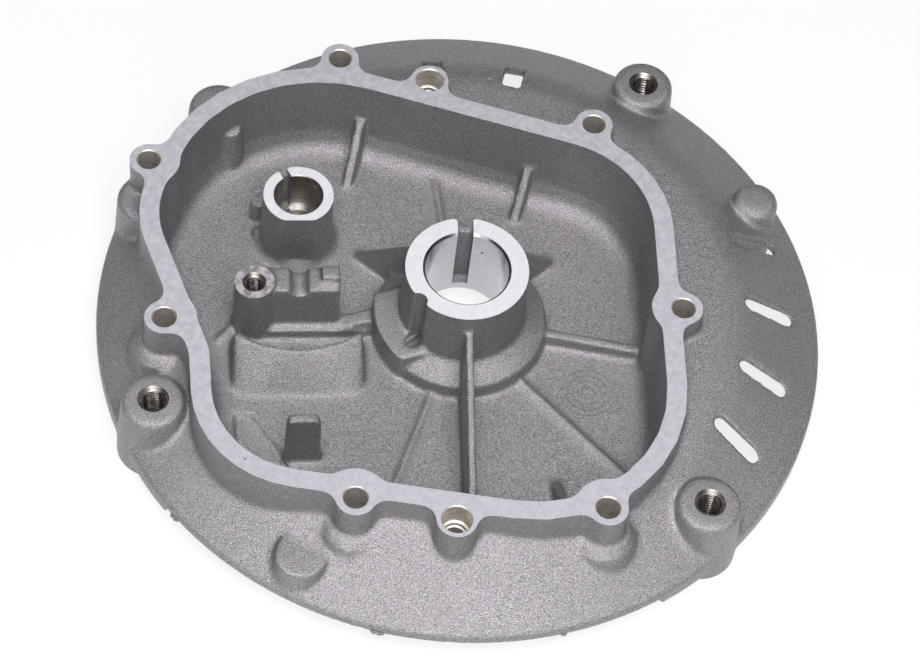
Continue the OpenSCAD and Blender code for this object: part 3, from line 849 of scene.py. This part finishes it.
ring_bodies = [raised_ring(radius, RING_CENTRE) for radius in RING_RADII]
for k in range(DIVISIONS):
    angle = 360 * (k + FIRST_DIVISION) / DIVISIONS
    bar = slab(RING_RADII[2] + RING_LINE, RING_RADII[0] - RING_LINE, -RING_LINE / 2, RING_LINE / 2,
               SUMP_FLOOR - RING_SUNK, SUMP_FLOOR + DIVISION_PROUD, angle)
    ring_bodies.append(moved(bar, (*RING_CENTRE, 0)))
ring_verts, ring_faces = joined(ring_bodies)
ring_mesh = bpy.data.meshes.new("date_ring")
ring_mesh.from_pydata(ring_verts, [], ring_faces)
ring_mesh.materials.append(blasted)
piece("date_ring", ring_mesh)


# The flash: three thin flakes of metal left along the lower edge of the rim at the front, where the
# two halves of the die met.
RIM_RADIUS = cad_box[1][0]
FLASH_HEIGHT = 6.9 * MM
FLASH_THICK = 0.45 * MM
FLASH_ROOT = 1.2 * MM
FLAKES = ((-132, 3.4 * MM, 0.7 * MM), (-95.6, 4.2 * MM, 0.8 * MM), (-67.6, 1.8 * MM, 0.5 * MM))
BROKEN_EDGE = ((-1, 0.12), (-0.55, 0.9), (-0.1, 0.6), (0.3, 1.0), (0.8, 0.45), (1, 0.1))


def flake(middle, length, out):
    """Closed chip along the rim that is broken off unevenly on its outer side."""
    half = math.degrees(length / RIM_RADIUS / 2)
    last = len(BROKEN_EDGE) - 1
    verts = []
    for along, share in BROKEN_EDGE:
        for radius in (RIM_RADIUS - FLASH_ROOT, RIM_RADIUS + share * out):
            x, y = on_circle(radius, middle + along * half)
            verts += [(x, y, FLASH_HEIGHT), (x, y, FLASH_HEIGHT + FLASH_THICK)]
    faces = [(0, 1, 3, 2), tuple(4 * last + i for i in (2, 3, 1, 0))]
    for k in range(last):
        a, b = 4 * k, 4 * k + 4
        faces += [(a, a + 2, b + 2, b), (a + 1, b + 1, b + 3, a + 3),
                  (a + 2, a + 3, b + 3, b + 2), (a, b, b + 1, a + 1)]
    return verts, faces


flash_mesh = bpy.data.meshes.new("flash")
flash_verts, flash_faces = joined([flake(*each) for each in FLAKES])
flash_mesh.from_pydata(flash_verts, [], flash_faces)
flash_mesh.materials.append(blasted)
piece("flash", flash_mesh)


# The room: a pale floor, two broad soft lamps in front of the part and dark flags at its sides and
# behind it, which the camera doesn't see and which leave the slopes that face them darker.
FLOOR_COLOR = (0.86, 0.86, 0.87, 1)
FLOOR_GLOW = 0.82
FLOOR_REACH = 3
MATT = 0.9
WORLD_ON_OBJECT = 0.05
LAMPS = {
    "key": ((0.10, -0.44, 1.10), 0.7, 17),
    "fill": ((0.1, -0.95, 0.55), 0.7, 3.2),
}
FLAG_COLOR = (0.03, 0.03, 0.032, 1)
FLAG_REACH = 0.42
SIDE_FLAG_TOP = 1.1
BACK_FLAG_TOP = 0.36
FLAGS_FROM = -0.5


def stage_sheet(name, corners, paint):
    """A flat sheet of the room, which isn't part of the object."""
    mesh = bpy.data.meshes.new(name)
    mesh.from_pydata(corners, [], [(0, 1, 2, 3)])
    mesh.materials.append(paint)
    obj = bpy.data.objects.new(name, mesh)
    scene.collection.objects.link(obj)
    return obj


def by_ray(tree, on_object, when_seen):
    """One value as light on the object, another where the camera, gloss or glass sees it."""
    paths = add_node(tree, "ShaderNodeLightPath")
    seen = add_node(tree, "ShaderNodeMath", {"operation": "MAXIMUM"})
    seen_or_through = add_node(tree, "ShaderNodeMath", {"operation": "MAXIMUM"})
    strength = add_node(tree, "ShaderNodeMapRange", To_Min=on_object, To_Max=when_seen)
    link = tree.links.new
    link(paths.outputs["Is Camera Ray"], seen.inputs[0])
    link(paths.outputs["Is Glossy Ray"], seen.inputs[1])
    link(seen.outputs[0], seen_or_through.inputs[0])
    link(paths.outputs["Is Transmission Ray"], seen_or_through.inputs[1])
    link(seen_or_through.outputs[0], strength.inputs["Value"])
    return strength.outputs["Result"]


floor_paint, floor_tree, floor_shader = material("floor_paint", Base_Color=FLOOR_COLOR, Roughness=MATT)
glow = add_node(floor_tree, "ShaderNodeEmission")
floor_mix = add_node(floor_tree, "ShaderNodeMixShader")
link = floor_tree.links.new
link(by_ray(floor_tree, 0.0, FLOOR_GLOW), floor_mix.inputs["Fac"])
link(floor_shader.outputs["BSDF"], floor_mix.inputs[1])
link(glow.outputs["Emission"], floor_mix.inputs[2])
link(floor_mix.outputs["Shader"], floor_tree.nodes["Material Output"].inputs["Surface"])
stage_sheet("floor", [(-FLOOR_REACH, -FLOOR_REACH, 0), (FLOOR_REACH, -FLOOR_REACH, 0),
                      (FLOOR_REACH, FLOOR_REACH, 0), (-FLOOR_REACH, FLOOR_REACH, 0)], floor_paint)

flag_cloth = material("flag_cloth", Base_Color=FLAG_COLOR, Roughness=MATT)[0]
for flag_name, start, end, top in (
        ("flag_left", (-FLAG_REACH, FLAGS_FROM), (-FLAG_REACH, FLAG_REACH), SIDE_FLAG_TOP),
        ("flag_right", (FLAG_REACH, FLAGS_FROM), (FLAG_REACH, FLAG_REACH), SIDE_FLAG_TOP),
        ("flag_back", (-FLAG_REACH, FLAG_REACH), (FLAG_REACH, FLAG_REACH), BACK_FLAG_TOP)):
    flag = stage_sheet(flag_name, [(*start, 0), (*end, 0), (*end, top), (*start, top)], flag_cloth)
    flag.visible_camera = False

for lamp_name, (lamp_at, width, power) in LAMPS.items():
    lamp_data = bpy.data.lights.new(lamp_name, "AREA")
    lamp_data.shape = "SQUARE"
    lamp_data.size = width
    lamp_data.energy = power
    lamp = bpy.data.objects.new(lamp_name, lamp_data)
    lamp.location = lamp_at
    lamp.rotation_euler = (-Vector(lamp_at)).to_track_quat("-Z", "Y").to_euler()
    scene.collection.objects.link(lamp)

world = bpy.data.worlds.new("studio")
scene.world = world
world.use_nodes = True
sky = world.node_tree.nodes["Background"]
sky.inputs["Color"].default_value = (1, 1, 1, 1)
world.node_tree.links.new(by_ray(world.node_tree, WORLD_ON_OBJECT, 1.0), sky.inputs["Strength"])
